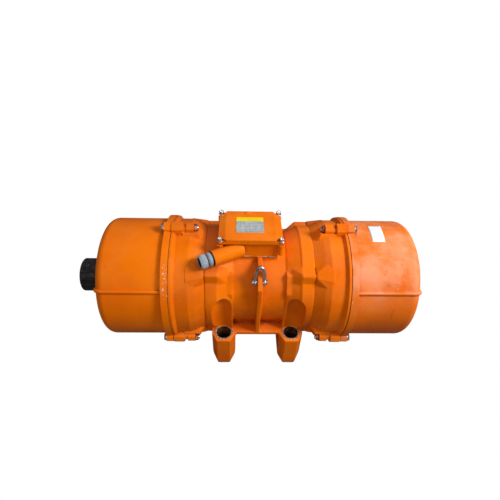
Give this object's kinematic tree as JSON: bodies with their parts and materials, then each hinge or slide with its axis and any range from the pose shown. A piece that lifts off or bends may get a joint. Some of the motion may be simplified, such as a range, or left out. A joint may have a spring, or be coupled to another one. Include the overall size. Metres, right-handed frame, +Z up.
{
  "type": "vibration motor",
  "caption": "Foot-mounted electric vibration motor with a cast frame, a cup cover over the eccentric weights at each end, a terminal box with cable gland, and lifting shackles.",
  "frame": {"origin": "middle of the four foot bolt holes, on the plane the feet stand on", "axes": "+X along the shaft away from the inspection cap, +Y to the back, +Z up out of the mounting face"},
  "size_m": [0.7795, 0.297, 0.3291],
  "materials": {
    "orange_paint": "gloss enamel over cast iron, dusty and chipped at the edges",
    "bright_zinc": "zinc plated fasteners",
    "galvanised": "hot dip galvanised",
    "black_plastic": "moulded black nylon, ribbed",
    "grey_nylon": "moulded grey nylon",
    "seal_rubber": "black nitrile rubber",
    "gasket_sheet": "grey gasket sheet",
    "bare_steel": "machined steel",
    "bearing_steel": "ground bearing steel",
    "lamination": "stacked electrical steel",
    "copper_winding": "varnished copper winding",
    "aluminium_cage": "cast aluminium",
    "weight_steel": "blackened steel plate",
    "terminal_moulding": "brown phenolic moulding",
    "brass_stud": "brass studs"
  },
  "bodies": {
    "frame": {"frame_housing": "orange_paint", "stator_core": "lamination", "stator_windings": "copper_winding", "cap_neck": "orange_paint", "cap_seal": "seal_rubber", "terminal_box": "orange_paint", "saddle_gasket": "gasket_sheet", "lid_gasket": "gasket_sheet", "box_lid": "orange_paint", "lid_washers": "bright_zinc", "lid_screws": "bright_zinc", "terminal_block": "terminal_moulding", "terminal_studs": "brass_stud", "gland_seal": "seal_rubber", "gland_body": "grey_nylon", "gland_insert": "seal_rubber", "gland_nut": "grey_nylon", "front_shackle_pin": "galvanised", "rear_shackle_pin": "galvanised", "left_end_shield": "orange_paint", "left_shield_bolts": "bright_zinc", "left_bearing_outer_ring": "bearing_steel", "left_bearing_rollers": "bearing_steel", "left_bearing_cap": "bare_steel", "left_cover_seal": "seal_rubber", "left_cover": "orange_paint", "left_cover_bolts": "bright_zinc", "left_cover_nuts": "bright_zinc", "right_end_shield": "orange_paint", "right_shield_bolts": "bright_zinc", "right_bearing_outer_ring": "bearing_steel", "right_bearing_rollers": "bearing_steel", "right_bearing_cap": "bare_steel", "right_cover_seal": "seal_rubber", "right_cover": "orange_paint", "right_cover_bolts": "bright_zinc", "right_cover_nuts": "bright_zinc"},
    "rotor": {"rotor_shaft": "bare_steel", "rotor_core": "lamination", "rotor_end_rings": "aluminium_cage", "left_bearing_inner_ring": "bearing_steel", "left_fixed_weight": "weight_steel", "left_fixed_clamp_screw": "bright_zinc", "right_bearing_inner_ring": "bearing_steel", "right_fixed_weight": "weight_steel", "right_fixed_clamp_screw": "bright_zinc"},
    "left_weight": {"left_adjustable_weight": "weight_steel", "left_adjustable_clamp_screw": "bright_zinc"},
    "right_weight": {"right_adjustable_weight": "weight_steel", "right_adjustable_clamp_screw": "bright_zinc"},
    "cap": {"inspection_cap": "black_plastic"},
    "front_shackle": {"front_shackle_bow": "galvanised"},
    "rear_shackle": {"rear_shackle_bow": "galvanised"}
  },
  "joints": [
    {"name": "rotor_spin", "type": "hinge", "parent": "frame", "child": "rotor", "pos_m": [0, 0, 0.168], "axis": [1, 0, 0], "continuous": true},
    {"name": "left_weight_setting", "type": "hinge", "parent": "rotor", "child": "left_weight", "pos_m": [-0.29, 0, 0.168], "axis": [1, 0, 0], "range_deg": [0, 180]},
    {"name": "right_weight_setting", "type": "hinge", "parent": "rotor", "child": "right_weight", "pos_m": [0.29, 0, 0.168], "axis": [1, 0, 0], "range_deg": [0, 180]},
    {"name": "cap_turn", "type": "hinge", "parent": "frame", "child": "cap", "pos_m": [-0.39, 0, 0.168], "axis": [-1, 0, 0], "range_deg": [0, 720]},
    {"name": "front_shackle_swing", "type": "hinge", "parent": "frame", "child": "front_shackle", "pos_m": [0, -0.096, 0.244], "axis": [1, 0, 0], "range_deg": [0, 120]},
    {"name": "rear_shackle_swing", "type": "hinge", "parent": "frame", "child": "rear_shackle", "pos_m": [0, 0.096, 0.244], "axis": [-1, 0, 0], "range_deg": [0, 120]}
  ]
}
